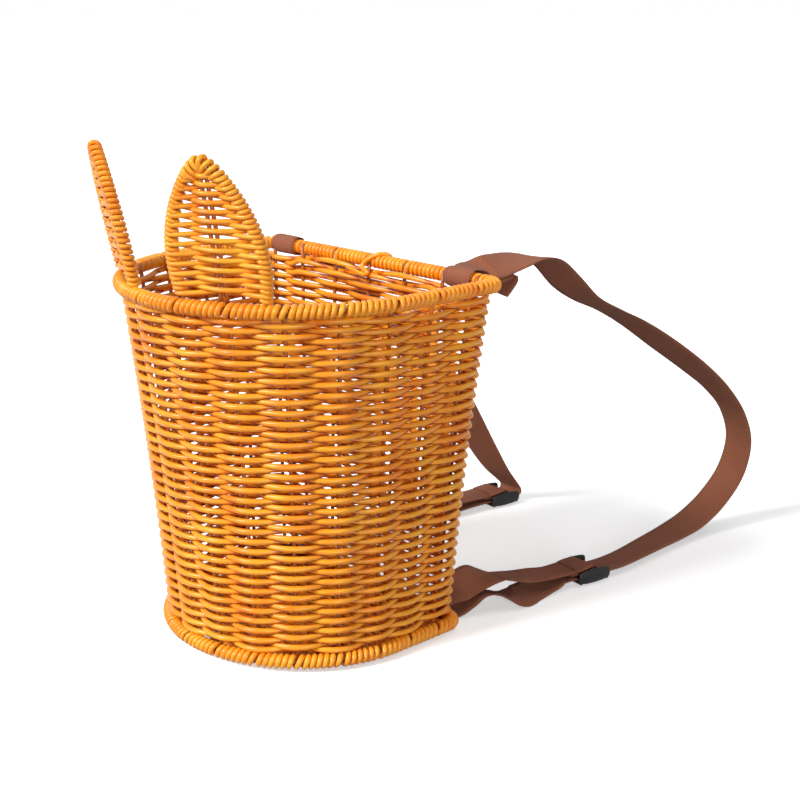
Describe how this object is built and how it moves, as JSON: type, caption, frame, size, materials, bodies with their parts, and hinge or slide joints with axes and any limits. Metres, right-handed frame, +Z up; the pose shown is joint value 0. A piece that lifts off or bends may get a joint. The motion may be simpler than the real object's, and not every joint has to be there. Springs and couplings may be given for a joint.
{
  "type": "wicker basket backpack",
  "caption": "Open-topped woven cane basket with a flat back, rounded front and upright leaf-shaped ears on the rim, carried on webbing shoulder straps with slider buckles.",
  "frame": {"origin": "on the floor under the basket, below the centre of the rounded front's arc", "axes": "+X to the wearer's right along the flat back, +Y out of the flat back towards the straps, +Z up out of the open top"},
  "size_m": [0.218, 0.4595, 0.3084],
  "materials": {
    "cane": "satin round plastic cane, honey orange",
    "coated_wire": "thin brown-orange plastic coat on steel wire",
    "webbing": "ribbed brown polypropylene webbing",
    "slider": "moulded black plastic"
  },
  "bodies": {
    "basket": {"rim_hoop_wire": "coated_wire", "rim_wrap_front": "cane", "rim_wrap_back": "cane", "base_hoop_wire": "coated_wire", "base_wrap_front": "cane", "base_wrap_back": "cane", "stake_01": "coated_wire", "stake_02": "coated_wire", "stake_03": "coated_wire", "stake_04": "coated_wire", "stake_05": "coated_wire", "stake_06": "coated_wire", "stake_07": "coated_wire", "stake_08": "coated_wire", "stake_09": "coated_wire", "stake_10": "coated_wire", "stake_11": "coated_wire", "stake_12": "coated_wire", "stake_13": "coated_wire", "stake_14": "coated_wire", "stake_15": "coated_wire", "stake_16": "coated_wire", "stake_17": "coated_wire", "stake_18": "coated_wire", "stake_19": "coated_wire", "stake_20": "coated_wire", "stake_21": "coated_wire", "woven_wall": "cane", "base_panel": "cane", "base_stake_1": "coated_wire", "base_stake_2": "coated_wire", "base_stake_3": "coated_wire", "base_stake_4": "coated_wire", "base_stake_5": "coated_wire", "right_ear_leaf": "cane", "right_ear_wire": "coated_wire", "right_ear_stake_1": "coated_wire", "right_ear_stake_2": "coated_wire", "left_ear_leaf": "cane", "left_ear_wire": "coated_wire", "left_ear_stake_1": "coated_wire", "left_ear_stake_2": "coated_wire", "right_top_turn": "webbing", "right_bottom_turn": "webbing", "left_top_turn": "webbing", "left_bottom_turn": "webbing"},
    "right_strap": {"right_shoulder_web": "webbing", "right_return_web": "webbing"},
    "right_adjuster": {"right_slider": "slider", "right_sewn_end": "webbing"},
    "left_strap": {"left_shoulder_web": "webbing", "left_return_web": "webbing"},
    "left_adjuster": {"left_slider": "slider", "left_sewn_end": "webbing"}
  },
  "joints": [
    {"name": "right_strap_swing", "type": "hinge", "parent": "basket", "child": "right_strap", "pos_m": [0.071, 0.085, 0.114], "axis": [0, 0, 1], "range_deg": [-60, 14]},
    {"name": "right_slider_slide", "type": "slide", "parent": "right_strap", "child": "right_adjuster", "axis": [0.1671, 0.9859, 0], "range_m": [-0.045, 0.012], "deforming": ["right_return_web"]},
    {"name": "left_strap_swing", "type": "hinge", "parent": "basket", "child": "left_strap", "pos_m": [-0.08, 0.085, 0.114], "axis": [0, 0, 1], "range_deg": [-14, 60]},
    {"name": "left_slider_slide", "type": "slide", "parent": "left_strap", "child": "left_adjuster", "axis": [0.12, 0.9928, 0], "range_m": [-0.09, 0], "deforming": ["left_return_web"]}
  ]
}
